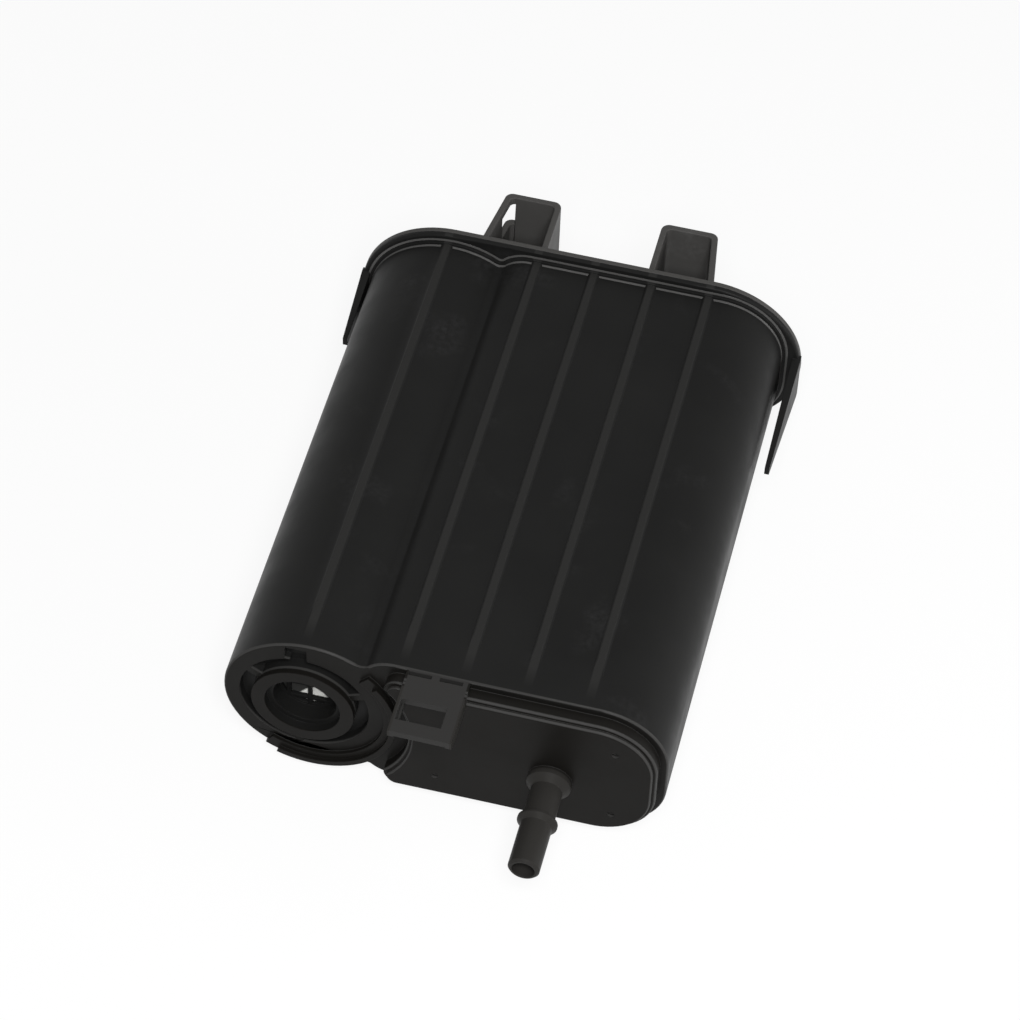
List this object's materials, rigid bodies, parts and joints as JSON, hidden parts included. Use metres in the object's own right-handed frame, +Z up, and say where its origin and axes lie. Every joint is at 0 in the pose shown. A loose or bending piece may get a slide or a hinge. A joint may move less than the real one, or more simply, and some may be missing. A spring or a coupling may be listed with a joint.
{
  "type": "charcoal canister",
  "caption": "Black moulded evaporative-emission charcoal canister with ribbed broad faces, a round vent socket, a vapour tube, a latch tongue and hanger loops.",
  "frame": {"origin": "middle of the part's box, on the plane that its flange lies on", "axes": "+X across the two chambers towards the main chamber's outer side, +Y from the port end to the cover end, +Z up out of the upper ribbed face"},
  "size_m": [0.1924, 0.3088, 0.081],
  "materials": {
    "housing_plastic": "satin moulded black nylon",
    "cover_plastic": "satin moulded black nylon",
    "carbon": "packed black pellets",
    "felt": "pale needled felt",
    "plate_plastic": "plain moulded",
    "spring_steel": "bright drawn wire"
  },
  "bodies": {
    "root": {"canister_body": "housing_plastic", "end_cover": "cover_plastic", "carbon_bed_main": "carbon", "carbon_bed_vent": "carbon", "inlet_felt_main": "felt", "outlet_felt_main": "felt", "inlet_felt_vent": "felt", "outlet_felt_vent": "felt", "pressure_plate_main": "plate_plastic", "pressure_plate_vent": "plate_plastic", "spring_main_inner": "spring_steel", "spring_main_outer": "spring_steel", "spring_vent": "spring_steel"}
  },
  "joints": []
}
